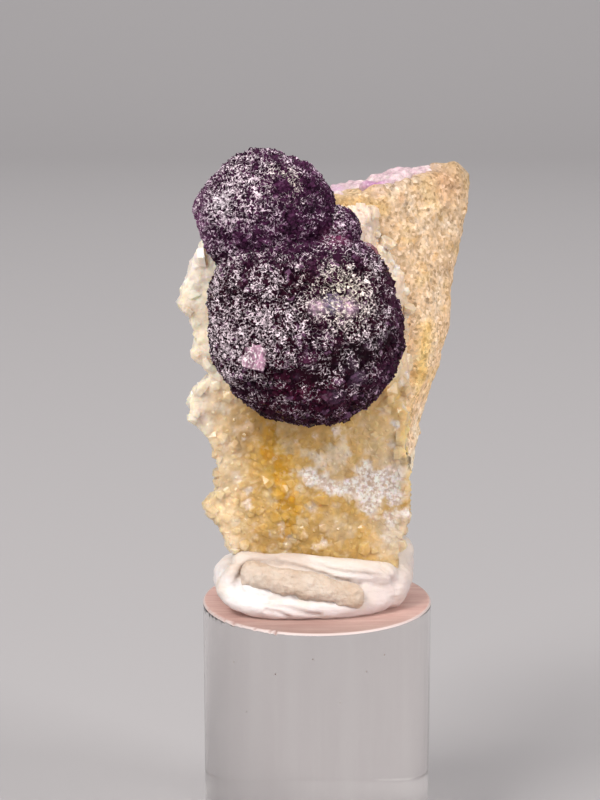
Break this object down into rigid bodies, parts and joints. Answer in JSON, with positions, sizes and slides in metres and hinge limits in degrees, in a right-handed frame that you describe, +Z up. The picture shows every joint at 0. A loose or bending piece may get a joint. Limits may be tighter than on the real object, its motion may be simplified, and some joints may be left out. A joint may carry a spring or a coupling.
{
  "type": "botryoidal fluorite specimen",
  "caption": "Dark purple botryoidal fluorite balls on honey drusy quartz with tan matrix, stuck with white putty on a clear acrylic cylinder.",
  "frame": {"origin": "centre of the stand's underside", "axes": "+Z up along the stand's axis; the fluorite balls face -Y; +X to the right of someone looking at them"},
  "size_m": [0.038, 0.0364, 0.0945],
  "materials": {
    "clear_acrylic": "polished clear sides, sanded half-clear top",
    "white_putty": "matt, kneaded",
    "tan_matrix": "rough, granular, broken",
    "honey_quartz": "sparkling, half-clear small crystals",
    "purple_fluorite": "glittering cube corners",
    "lilac_fluorite": "finely crystalline, half-clear"
  },
  "bodies": {
    "root": {"acrylic_stand": "clear_acrylic", "mounting_putty": "white_putty", "matrix_rock": "tan_matrix", "quartz_druse": "honey_quartz", "purple_fluorite": "purple_fluorite", "lilac_fluorite_crust": "lilac_fluorite"}
  },
  "joints": []
}
